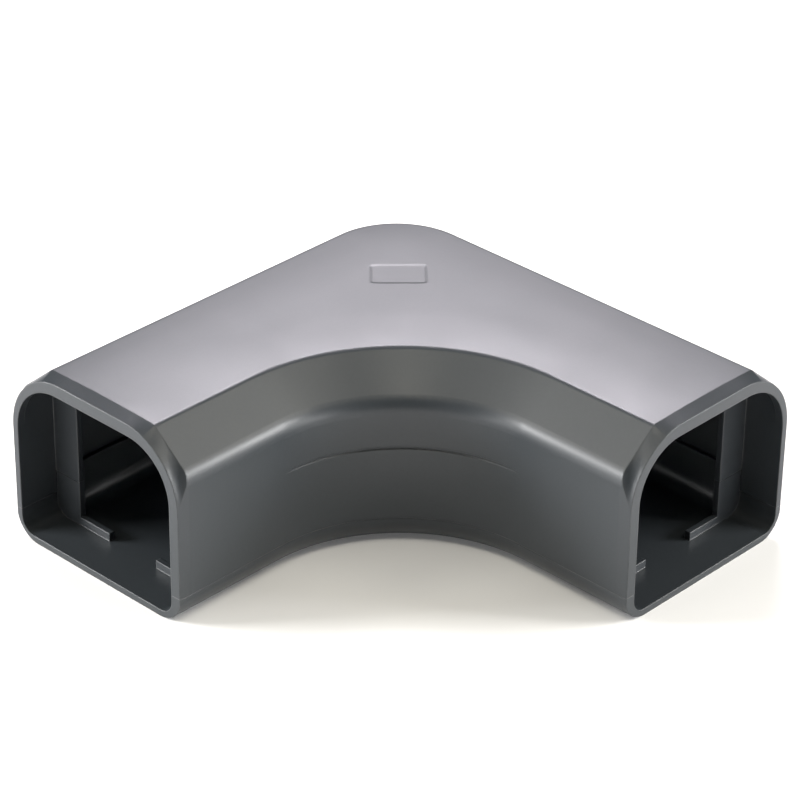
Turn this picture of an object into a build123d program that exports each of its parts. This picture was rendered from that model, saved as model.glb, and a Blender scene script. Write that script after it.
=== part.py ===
from build123d import *
import math
import os

os.makedirs("parts", exist_ok=True)

# Flat right-angle elbow of a surface-mounted pipe duct: a base tray that is screwed to the
# wall and a cover that snaps over it. Millimetres, +Z away from the wall. The two centre
# lines cross at the origin; one leg runs along +X and the other along -Y.

# Outside form
leg_width = 80.0
total_height = 68.0
leg_reach = 181.0
inner_bend_radius = 54.5
outer_corner_radius = 42.0
shoulder_run = 16.0
shoulder_drop = 13.5
crown_share = 0.9
crown_drop = 0.5
top_edge_round = 2.5
shoulder_round = 8.0
lower_round = 10.0

# Walls and the joint between cover and base
cover_wall = 2.6
base_floor = 2.4
floor_round = 5.5
upstand_wall = 1.5
parting_height = 10.5
upstand_height = 19.0
base_set_in = 0.1
fit_gap = 0.2

# Mouths: the end tapers to a rim with rounded corners, and a lip inside it, on top and on the
# inner side of the bend, closes the gap round the straight duct
rim_side_inset = 0.3
rim_top_inset = 1.4
rim_corner_radius = 24.0
taper_length = 5.0
mouth_lip_length = 3.0
mouth_top_inset = 5.9
mouth_inner_radius = 18.5
mouth_outer_radius = 20.0

# Stops that the straight duct is pushed against
socket_depth = 15.5
stop_thickness = 2.2
stop_depth = 10.0
floor_stop_height = 3.0
floor_stop_span = 24.3
rib_gap = 0.1

# Snap ridges on the upstand and their grooves in the cover
snap_length = 20.0
snap_depth = 0.7
snap_half_height = 1.4
snap_from_top = 4.5
snap_from_end = 32.5

# Fine line round the inner bend
bend_line_height = 37.8
bend_line_width = 0.9
bend_line_depth = 0.45

# Blank pad on the top, toward the outer corner
pad_width = 20.0
pad_length = 14.0
pad_depth = 0.2
pad_slope = 1.2
pad_corner = 2.0
pad_offset = 14.5

# Screw holes in the floor
screw_hole_diameter = 5.0
screw_hole_spacing = 50.0
screw_row_centre = 70.0

# Sizes that follow from those above
half_width = leg_width / 2
end_plane = leg_reach - half_width
overrun = 20.0
upstand_outer = cover_wall + fit_gap
upstand_inner = upstand_outer + upstand_wall
upstand_root = upstand_inner - upstand_wall / 2
shoulder_height = total_height - shoulder_drop
slope_length = math.hypot(shoulder_run, shoulder_drop)
shoulder_angle = math.degrees(math.atan2(shoulder_run, shoulder_drop))
bend_middle = half_width + inner_bend_radius
corner_middle = outer_corner_radius - half_width
crease_height = total_height - crown_drop
crease_run = shoulder_run * (1 - crown_drop / shoulder_drop)
crown_width = crown_share * (half_width - crease_run)
crown_radius = (crown_width**2 + crown_drop**2) / (2 * crown_drop)
lip_plane = end_plane - mouth_lip_length
stop_face = end_plane - socket_depth
stop_back = stop_face - stop_thickness
stop_inset = upstand_inner + stop_depth
snap_height = upstand_height - snap_from_top
snap_middle = end_plane - snap_from_end
snap_slope = snap_half_height / snap_depth
mirror_plane = Plane((0, 0, 0), x_dir=(0, 0, 1), z_dir=(1, 1, 0))


def plan(inset, z):
    """Plan of both legs at height z, side walls moved inward by inset, ends left long."""
    half = half_width - inset
    bend = inner_bend_radius + inset
    corner = outer_corner_radius - inset
    reach = end_plane + overrun
    outline = [
        Line((-half, half - corner), (-half, -reach)),
        Line((-half, -reach), (half, -reach)),
        Line((half, -reach), (half, -half - bend)),
        CenterArc((half + bend, -half - bend), bend, 180, -90),
        Line((half + bend, -half), (reach, -half)),
        Line((reach, -half), (reach, half)),
        Line((reach, half), (corner - half, half)),
        CenterArc((corner - half, half - corner), corner, 90, 90),
    ]
    return Pos(0, 0, z) * make_face(outline)


def prism(inset, low, high):
    """Straight-sided body on the plan between two heights."""
    return extrude(plan(inset, low), amount=high - low)


def hood(inset, low):
    """Body with flat top and bevelled shoulders, each face moved inward by inset."""
    top = total_height - inset
    shoulder = shoulder_height - inset * (slope_length - shoulder_drop) / shoulder_run
    walls = prism(inset, low, shoulder)
    bevel = extrude(plan(inset, shoulder), amount=top - shoulder, taper=shoulder_angle)
    return walls + bevel


def crown_cut(pivot, crease_radius, side):
    """What lies above the top where it falls off to a crease; side is 1 inside the bend, else -1."""
    crease = crease_radius - pivot
    flat = crease + side * crown_width
    beyond = crease - side
    rise = math.sqrt(crown_radius**2 - (beyond - flat) ** 2) - crown_radius
    high = total_height + 1
    arc = ThreePointArc(
        (pivot, flat, total_height), (pivot, crease, crease_height), (pivot, beyond, total_height + rise)
    )
    rest = Polyline((pivot, beyond, total_height + rise), (pivot, beyond, high), (pivot, flat, high))
    section = make_face([arc, *rest.edges(), Line((pivot, flat, high), (pivot, flat, total_height))])
    straight = extrude(section, amount=end_plane + overrun - pivot, dir=(1, 0, 0))
    bend = revolve(section, Axis((pivot, -pivot, 0), (0, 0, 1)), 90)
    return both_legs(straight) + bend


def within(distance):
    """Block that ends both legs at the given distance from the origin."""
    side = distance + leg_width
    middle = (distance - leg_width) / 2
    return Pos(middle, -middle, 0) * Box(side, side, 4 * total_height)


def long_edges(body, z):
    """Edges of the body at height z, without those across the overlong ends."""
    limit = end_plane + overrun - 1
    level = [e for e in body.edges() if abs(e.center().Z - z) < 0.001]
    return [e for e in level if e.center().X < limit and e.center().Y > -limit]


def leg_block(x_low, x_high, y_low, y_high, z_low, z_high):
    """Block on the +X leg between the given limits."""
    size = (x_high - x_low, y_high - y_low, z_high - z_low)
    centre = ((x_low + x_high) / 2, (y_low + y_high) / 2, (z_low + z_high) / 2)
    return Pos(*centre) * Box(*size)


def both_legs(shape):
    """A shape on the +X leg and its mirror image on the -Y leg."""
    return shape + mirror(shape, about=mirror_plane)


def both_sides(inset, x_low, x_high, depth, z_low, z_high):
    """Blocks along both side walls of each leg, from inset inward by depth."""
    edge = half_width - inset
    outer = leg_block(x_low, x_high, edge - depth, edge, z_low, z_high)
    inner = leg_block(x_low, x_high, -edge, depth - edge, z_low, z_high)
    return both_legs(outer + inner)


def mouth_opening():
    """Prism with rounded upper corners that opens both mouths through the lip."""
    inner = upstand_inner - half_width
    outer = half_width - cover_wall
    high = total_height - mouth_top_inset
    profile = make_face(Polyline((inner, 0), (outer, 0), (outer, high), (inner, high), close=True))
    corners = profile.vertices().group_by(Axis.Y)[-1].sort_by(Axis.X)
    profile = fillet(corners[0], mouth_inner_radius)
    corners = profile.vertices().group_by(Axis.Y)[-1].sort_by(Axis.X)
    profile = fillet(corners[-1], mouth_outer_radius)
    start = Plane((lip_plane - mouth_lip_length, 0, 0), x_dir=(0, 1, 0), z_dir=(1, 0, 0))
    return both_legs(extrude(start * profile, amount=4 * mouth_lip_length))


def symmetric(right):
    """Face whose outline is given on the right and mirrored to the left."""
    return make_face(right + mirror(right, about=Plane.YZ))


def mouth_trim():
    """What lies outside the taper of both ends, from the crowned section down to the rim."""
    foot = -leg_width
    crease = half_width - crease_run
    flat = crease - crown_width
    full = Polyline((0, foot), (half_width, foot), (half_width, shoulder_height), (crease, crease_height))
    full += TangentArc((flat, total_height), (crease, crease_height), tangent=(1, 0))
    full += Line((flat, total_height), (0, total_height))
    rim_side = half_width - rim_side_inset
    rim_top = total_height - rim_top_inset
    rim_flat = rim_side - rim_corner_radius
    rim_low = rim_top - rim_corner_radius
    rim = Polyline((0, foot), (rim_side, foot), (rim_side, rim_low))
    rim += CenterArc((rim_flat, rim_low), rim_corner_radius, 0, 90)
    rim += Polyline((rim_flat, rim_top), (flat, rim_top), (0, rim_top))
    start = Plane((end_plane - taper_length, 0, 0), x_dir=(0, 1, 0), z_dir=(1, 0, 0))
    sections = [start * symmetric(full), start.offset(taper_length) * symmetric(rim)]
    core = loft(sections, ruled=True)
    side = half_width + 1
    shell = leg_block(end_plane - taper_length, end_plane, -side, side, 0, total_height + 1)
    return both_legs(shell - core)


def tray(inset):
    """Hollow of the base, rounded along the floor."""
    hollow = prism(inset, base_floor, 2 * upstand_height)
    return fillet(long_edges(hollow, base_floor), floor_round)


def ridges(depth, half_height, length):
    """Three-sided ridges along the outside of the upstand in each straight leg."""
    face = half_width - upstand_outer
    buried = upstand_wall / 2
    spread = half_height + snap_slope * buried
    corners = [
        (snap_middle, face - buried, snap_height - spread),
        (snap_middle, face + depth, snap_height),
        (snap_middle, face - buried, snap_height + spread),
    ]
    section = make_face(Polyline(*corners, close=True))
    outer = extrude(section, amount=length / 2, both=True)
    inner = mirror(outer, about=Plane.XZ)
    return both_legs(outer + inner)


# Cover: outer form, slightly crowned, rounded along the shoulders and tapered at each mouth
trim = mouth_trim()
cover = hood(0, parting_height)
cover -= crown_cut(bend_middle, inner_bend_radius + crease_run, 1)
cover -= crown_cut(corner_middle, outer_corner_radius - crease_run, -1)
cover = fillet(long_edges(cover, crease_height), top_edge_round)
cover = fillet(long_edges(cover, shoulder_height), shoulder_round)
cover = cover & within(end_plane)
cover -= trim

# Hollow of the cover, closed in by the lip at each mouth
cover -= hood(cover_wall, 0) & within(lip_plane)
cover -= mouth_opening()

# Stop ribs along the side walls up to the ceiling, above the upstand of the base
rib_low = upstand_height + rib_gap
ribs = both_sides(0, stop_back, stop_face, stop_inset, rib_low, total_height)
cover += ribs & hood(cover_wall / 2, 0)

# Grooves that the snap ridges of the base click into
groove_depth = snap_depth + 1.2 * fit_gap
groove_half_height = snap_half_height + 2.4 * fit_gap
cover -= ridges(groove_depth, groove_half_height, snap_length + 2 * fit_gap)

# Fine line round the inner bend, deepest in the middle and running out at both ends
line_shift = bend_line_depth / (1 - math.cos(math.pi / 4))
line_middle = bend_middle - line_shift / math.sqrt(2)
line_radius = inner_bend_radius + bend_line_depth - line_shift
cover -= Pos(line_middle, -line_middle, bend_line_height) * Cylinder(line_radius, bend_line_width)

# Blank pad, sunk slightly into the top with sloping edges, square to the bisector of the bend
pad_middle = pad_offset / math.sqrt(2)
pad_angle = math.degrees(math.atan2(pad_slope, pad_depth))
pad = extrude(RectangleRounded(pad_width, pad_length, pad_corner), amount=pad_depth, taper=pad_angle)
cover -= Pos(pad_middle, -pad_middle, total_height) * Rot(180, 0, -45) * pad

# Base: tray with rounded lower edges, and an upstand that stands inside the cover
base = prism(base_set_in, 0, parting_height)
base = fillet(long_edges(base, 0), lower_round)
base = base & within(end_plane)
base -= trim
base += prism(upstand_outer, parting_height / 2, upstand_height) & within(stop_face)
base_form = base
base -= tray(upstand_inner)
socket = leg_block(stop_face, lip_plane, -half_width, 0, 0, total_height)
socket += leg_block(stop_face, end_plane + overrun, 0, half_width, 0, total_height)
base -= tray(cover_wall) & both_legs(socket)

# Stops on the floor and up the upstand, in line with the ribs of the cover
reach_in = upstand_inner - upstand_root
floor_stop_top = base_floor + floor_stop_height
stops = both_sides(
    upstand_root, stop_back, stop_face, reach_in + floor_stop_span, base_floor / 2, floor_stop_top
)
stops += both_sides(
    upstand_root, stop_back, stop_face, reach_in + stop_depth, base_floor, upstand_height
)
base += stops & base_form

# Snap ridges
base += ridges(snap_depth, snap_half_height, snap_length)

# Screw holes on the centre line of each leg
for side in (-1, 1):
    distance = screw_row_centre + side * screw_hole_spacing / 2
    drill = Pos(distance, 0, base_floor / 2) * Cylinder(screw_hole_diameter / 2, 3 * base_floor)
    base -= both_legs(drill)

export_step(cover, "parts/cover.step")
export_step(base, "parts/base.step")
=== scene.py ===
import math
import bpy
from mathutils import Matrix, Vector

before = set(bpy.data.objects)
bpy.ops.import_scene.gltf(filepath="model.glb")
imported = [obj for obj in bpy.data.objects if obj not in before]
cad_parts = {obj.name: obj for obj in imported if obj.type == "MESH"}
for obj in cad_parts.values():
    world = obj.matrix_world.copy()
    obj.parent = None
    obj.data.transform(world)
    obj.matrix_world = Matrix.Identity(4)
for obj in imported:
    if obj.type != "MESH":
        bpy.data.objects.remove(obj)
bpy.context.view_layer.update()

# Flat duct elbow in satin grey plastic on a pale floor. Metres, +Z up, in the frame of the part.
# Directions are given in degrees: azimuth 0 is in front (-Y), 90 on the right (+X).

# Camera: as in the photograph, focal length in pixels of an 800-pixel image
IMAGE_SIDE = 800
FOCAL_PIXELS = 3361.1
SENSOR_WIDTH = 36.0
CAMERA_TARGET = Vector((0.025031, -0.02428, 0.030))
CAMERA_AZIMUTH = 43.472
CAMERA_ELEVATION = 30.607
CAMERA_ROLL = 0.753
CAMERA_DISTANCE = 1.1476
CLIP_START = 0.05
CLIP_END = 20.0

# Plastic: colours, and the sizes of its marks as noise scales per metre
PLASTIC_COLOUR = (0.029, 0.034, 0.039)
WORN_COLOUR = (0.095, 0.098, 0.10)
DUST_COLOUR = (0.12, 0.118, 0.115)
PLASTIC_IOR = 1.5
ROUGHNESS_LOW = 0.36
ROUGHNESS_HIGH = 0.41
SCUFF_DULLING = 0.12
WEAR_DULLING = 0.1
SCUFF_TINT = 0.12
DUST_REACH = 0.006
DUST_TINT = 0.25
EDGE_RADIUS = 0.0006
NORMAL_SAMPLES = 6
DRIFT_SCALE = 14.0
DRIFT_SHARE = 0.03
PATCH_SCALE = 22.0
WAVE_SCALE = 30.0
GLOSS_SCALE = 40.0
WEAR_SCALE = 90.0
DUST_SCALE = 260.0
SPECKLE_SCALE = 900.0
SPECKLE_SHARE = 0.03
GRAIN_SCALE = 2600.0
STREAK_SCALE = 3.0
STREAK_STRETCH = (9.0, 160.0, 60.0)
STREAK_TURN = (0, 0, 0.3)
WAVE_DEPTH = 0.0006
WAVE_STRENGTH = 0.03
GRAIN_DEPTH = 0.00008
GRAIN_STRENGTH = 0.16

# Sockets of a mix node that mixes colours
MIX_UNDER = 6
MIX_OVER = 7
MIX_RESULT = 2

# Floor: matt paper that glows faintly near the part and more strongly away from it; the glow is painted
# light that whitens the far floor and lifts the part's shadow near it
FLOOR_COLOUR = (0.86, 0.86, 0.86)
FLOOR_SIDE = 8.0
FLOOR_ROUGHNESS = 0.9
FLOOR_SPECULAR = 0.1
CLOUD_SCALE = 3.0
FIBRE_SCALE = 700.0
FIBRE_DEPTH = 0.0002
FIBRE_STRENGTH = 0.05
GLOW_NEAR = 0.08
GLOW_FAR = 0.8
GLOW_START = 0.5
GLOW_END = 1.5

# Lights: softboxes of one size on a dome round the part
AIM = Vector((0.035, -0.035, 0.03))
DOME_RADIUS = 1.5
BOX_WIDTH = 0.6
BOX_HEIGHT = 0.32
WORLD_STRENGTH = 0.0
WHITE = (1.0, 1.0, 1.0)
COOL = (1.0, 0.95, 1.02)
WARM = (1.0, 0.95, 0.83)


def direction(azimuth, elevation):
    """Unit vector from the part toward an azimuth and elevation."""
    a = math.radians(azimuth)
    e = math.radians(elevation)
    return Vector((math.sin(a) * math.cos(e), -math.cos(a) * math.cos(e), math.sin(e)))


def make_camera():
    """Camera at the photograph's viewing angle."""
    back = direction(CAMERA_AZIMUTH, CAMERA_ELEVATION)
    level = direction(CAMERA_AZIMUTH + 90, 0)
    upright = back.cross(level)
    roll = math.radians(CAMERA_ROLL)
    right = math.cos(roll) * level + math.sin(roll) * upright
    up = math.cos(roll) * upright - math.sin(roll) * level
    data = bpy.data.cameras.new("camera")
    data.sensor_width = SENSOR_WIDTH
    data.lens = FOCAL_PIXELS / IMAGE_SIDE * SENSOR_WIDTH
    data.clip_start = CLIP_START
    data.clip_end = CLIP_END
    camera = bpy.data.objects.new("camera", data)
    axes = Matrix((right, up, back)).transposed()
    place = CAMERA_TARGET + CAMERA_DISTANCE * back
    camera.matrix_world = Matrix.Translation(place) @ axes.to_4x4()
    bpy.context.scene.collection.objects.link(camera)
    bpy.context.scene.camera = camera


def softbox(name, azimuth, elevation, power, colour):
    """Rectangular light on the dome, aimed at the part."""
    toward = direction(azimuth, elevation)
    data = bpy.data.lights.new(name, "AREA")
    data.shape = "RECTANGLE"
    data.size = BOX_WIDTH
    data.size_y = BOX_HEIGHT
    data.energy = power
    data.color = colour
    light = bpy.data.objects.new(name, data)
    light.location = AIM + DOME_RADIUS * toward
    light.rotation_euler = toward.to_track_quat("Z", "Y").to_euler()
    bpy.context.scene.collection.objects.link(light)


def make_lights():
    """Boxes on the left, right and back, and over the front for the bevels, power in watts."""
    softbox("left_floor_box", 313, 6, 4.0, WHITE)
    softbox("left_box", 313, 18, 36.0, WHITE)
    softbox("left_front_box", 343, 6, 4.8, WHITE)
    softbox("left_high_box", 313, 44, 4.2, WARM)
    softbox("right_box", 133, 18, 26.0, WHITE)
    softbox("right_front_box", 103, 6, 5.6, WHITE)
    softbox("right_high_box", 133, 44, 5.0, WARM)
    softbox("back_low_box", 223, 30, 1.5, COOL)
    softbox("back_box", 223, 44, 17.5, COOL)
    softbox("front_high_box", 43, 64, 5.0, WARM)
    softbox("left_bevel_box", 341, 60, 2.2, WARM)
    softbox("right_bevel_box", 110, 60, 2.6, WARM)


def make_world():
    """White surroundings, lit only as strongly as the world strength says."""
    world = bpy.data.worlds.new("world")
    bpy.context.scene.world = world
    world.use_nodes = True
    background = world.node_tree.nodes["Background"]
    background.inputs["Color"].default_value = (*WHITE, 1.0)
    background.inputs["Strength"].default_value = WORLD_STRENGTH


def new_material(name):
    """New node material, its tree and its shader."""
    material = bpy.data.materials.new(name)
    material.use_nodes = True
    tree = material.node_tree
    return material, tree, tree.nodes["Principled BSDF"]


def add(tree, kind, inputs, **settings):
    """New node with its settings; an input is a value or the socket that feeds it."""
    node = tree.nodes.new(kind)
    for key, value in settings.items():
        setattr(node, key, value)
    for key, value in inputs.items():
        if isinstance(value, bpy.types.NodeSocket):
            tree.links.new(value, node.inputs[key])
        else:
            node.inputs[key].default_value = value
    return node


def position(tree):
    """Place on the piece in its own frame."""
    return add(tree, "ShaderNodeTexCoord", {}).outputs["Object"]


def noise(tree, place, scale, detail, roughness=0.5):
    """Noise between 0 and 1 over a place."""
    inputs = {"Vector": place, "Scale": scale, "Detail": detail, "Roughness": roughness}
    return add(tree, "ShaderNodeTexNoise", inputs).outputs["Fac"]


def spread(tree, value, low, high, new_low=0.0, new_high=1.0):
    """Value carried from one range to another and held there."""
    inputs = {"Value": value, "From Min": low, "From Max": high, "To Min": new_low, "To Max": new_high}
    return add(tree, "ShaderNodeMapRange", inputs).outputs["Result"]


def product(tree, first, second):
    """Two values multiplied."""
    return add(tree, "ShaderNodeMath", {0: first, 1: second}, operation="MULTIPLY").outputs["Value"]


def total(tree, first, second):
    """Two values added."""
    return add(tree, "ShaderNodeMath", {0: first, 1: second}, operation="ADD").outputs["Value"]


def scaled(tree, colour, factor):
    """Colour made lighter or darker by a factor."""
    inputs = {0: colour, "Scale": factor}
    return add(tree, "ShaderNodeVectorMath", inputs, operation="SCALE").outputs["Vector"]


def blend(tree, factor, under, over):
    """Colour socket with a second colour laid over it by a factor."""
    node = add(tree, "ShaderNodeMix", {"Factor": factor}, data_type="RGBA")
    tree.links.new(under, node.inputs[MIX_UNDER])
    node.inputs[MIX_OVER].default_value = (*over, 1.0)
    return node.outputs[MIX_RESULT]


def bump(tree, height, depth, strength, **normal):
    """Normal roughened by a height."""
    inputs = {"Height": height, "Distance": depth, "Strength": strength, **normal}
    return add(tree, "ShaderNodeBump", inputs).outputs["Normal"]


def edge_wear(tree, place, rounded):
    """Worn edges: where the rounded normal leaves the true one, broken up by noise."""
    true = add(tree, "ShaderNodeNewGeometry", {}).outputs["Normal"]
    alike = add(tree, "ShaderNodeVectorMath", {0: rounded, 1: true}, operation="DOT_PRODUCT")
    edge = spread(tree, alike.outputs["Value"], 0.99, 0.86)
    broken = spread(tree, noise(tree, place, WEAR_SCALE, 4.0, 0.6), 0.42, 0.68, 0.0, 0.8)
    return product(tree, edge, broken)


def scuff_marks(tree, place):
    """Thin streaks, only in scattered patches."""
    stretch = {"Vector": place, "Rotation": STREAK_TURN, "Scale": STREAK_STRETCH}
    along = add(tree, "ShaderNodeMapping", stretch).outputs["Vector"]
    streaks = spread(tree, noise(tree, along, STREAK_SCALE, 6.0, 0.7), 0.62, 0.72)
    patches = spread(tree, noise(tree, place, PATCH_SCALE, 2.0), 0.55, 0.75)
    return product(tree, streaks, patches)


def corner_dust(tree, place):
    """Dust that settled in closed corners."""
    occlusion = add(tree, "ShaderNodeAmbientOcclusion", {"Distance": DUST_REACH}, samples=NORMAL_SAMPLES)
    corners = spread(tree, occlusion.outputs["AO"], 0.62, 0.3)
    grains = spread(tree, noise(tree, place, DUST_SCALE, 4.0), 0.4, 0.7, 0.0, DUST_TINT)
    return product(tree, corners, grains)


def plastic_colour(tree, place, worn, scuffs):
    """Slow drift of the moulding, faint speckle, lighter wear and dust."""
    drift = noise(tree, place, DRIFT_SCALE, 2.0)
    slow = spread(tree, drift, 0.3, 0.7, 1 - DRIFT_SHARE, 1 + DRIFT_SHARE)
    speckle = noise(tree, place, SPECKLE_SCALE, 2.0)
    quick = spread(tree, speckle, 0.35, 0.65, -SPECKLE_SHARE, SPECKLE_SHARE)
    colour = scaled(tree, PLASTIC_COLOUR, total(tree, slow, quick))
    colour = blend(tree, worn, colour, WORN_COLOUR)
    colour = blend(tree, product(tree, scuffs, SCUFF_TINT), colour, WORN_COLOUR)
    return blend(tree, corner_dust(tree, place), colour, DUST_COLOUR)


def plastic_gloss(tree, place, worn, scuffs):
    """Satin, uneven by a few per cent, duller where worn or scuffed."""
    uneven = noise(tree, place, GLOSS_SCALE, 4.0)
    satin = spread(tree, uneven, 0.3, 0.7, ROUGHNESS_LOW, ROUGHNESS_HIGH)
    scuffed = total(tree, satin, product(tree, scuffs, SCUFF_DULLING))
    return total(tree, scuffed, product(tree, worn, WEAR_DULLING))


def plastic_relief(tree, place, rounded):
    """Faint waviness of the walls under the spark grain of the mould."""
    waves = noise(tree, place, WAVE_SCALE, 1.0)
    wavy = bump(tree, waves, WAVE_DEPTH, WAVE_STRENGTH, Normal=rounded)
    grain = noise(tree, place, GRAIN_SCALE, 2.0, 0.6)
    return bump(tree, grain, GRAIN_DEPTH, GRAIN_STRENGTH, Normal=wavy)


def plastic(name):
    """Satin moulded plastic with grain, faint flow marks, handling scuffs and worn edges."""
    material, tree, shader = new_material(name)
    place = position(tree)
    bevel = add(tree, "ShaderNodeBevel", {"Radius": EDGE_RADIUS}, samples=NORMAL_SAMPLES)
    rounded = bevel.outputs["Normal"]
    worn = edge_wear(tree, place, rounded)
    scuffs = scuff_marks(tree, place)
    tree.links.new(plastic_colour(tree, place, worn, scuffs), shader.inputs["Base Color"])
    tree.links.new(plastic_gloss(tree, place, worn, scuffs), shader.inputs["Roughness"])
    tree.links.new(plastic_relief(tree, place, rounded), shader.inputs["Normal"])
    shader.inputs["IOR"].default_value = PLASTIC_IOR
    return material


def floor_paper():
    """Matt studio paper, slightly cloudy, with fibres and a glow of painted light that grows away from
    the part.
    """
    material, tree, shader = new_material("floor_paper")
    place = position(tree)
    clouds = spread(tree, noise(tree, place, CLOUD_SCALE, 2.0), 0.3, 0.7, 0.99, 1.0)
    tree.links.new(scaled(tree, FLOOR_COLOUR, clouds), shader.inputs["Base Color"])
    # Painted light: the emission brightens the paper away from the part and faintly lifts the part's
    # shadow near it
    away = add(tree, "ShaderNodeVectorMath", {0: place}, operation="LENGTH").outputs["Value"]
    painted_glow = spread(tree, away, GLOW_START, GLOW_END, GLOW_NEAR, GLOW_FAR)
    tree.links.new(painted_glow, shader.inputs["Emission Strength"])
    fibres = noise(tree, place, FIBRE_SCALE, 3.0)
    tree.links.new(bump(tree, fibres, FIBRE_DEPTH, FIBRE_STRENGTH), shader.inputs["Normal"])
    shader.inputs["Emission Color"].default_value = (*WHITE, 1.0)
    shader.inputs["Roughness"].default_value = FLOOR_ROUGHNESS
    shader.inputs["Specular IOR Level"].default_value = FLOOR_SPECULAR
    return material


def make_floor():
    """Pale floor under the part."""
    half = FLOOR_SIDE / 2
    mesh = bpy.data.meshes.new("floor")
    corners = [(-half, -half, 0.0), (half, -half, 0.0), (half, half, 0.0), (-half, half, 0.0)]
    mesh.from_pydata(corners, [], [(0, 1, 2, 3)])
    mesh.materials.append(floor_paper())
    floor = bpy.data.objects.new("floor", mesh)
    bpy.context.scene.collection.objects.link(floor)


def dress(node, material):
    """Give a CAD node its finish."""
    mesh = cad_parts[node].data
    mesh.materials.clear()
    mesh.materials.append(material)


dress("cover", plastic("cover_plastic_look"))
dress("base", plastic("base_plastic_look"))
make_floor()
make_world()
make_lights()
make_camera()
bpy.context.scene.view_settings.view_transform = "Standard"
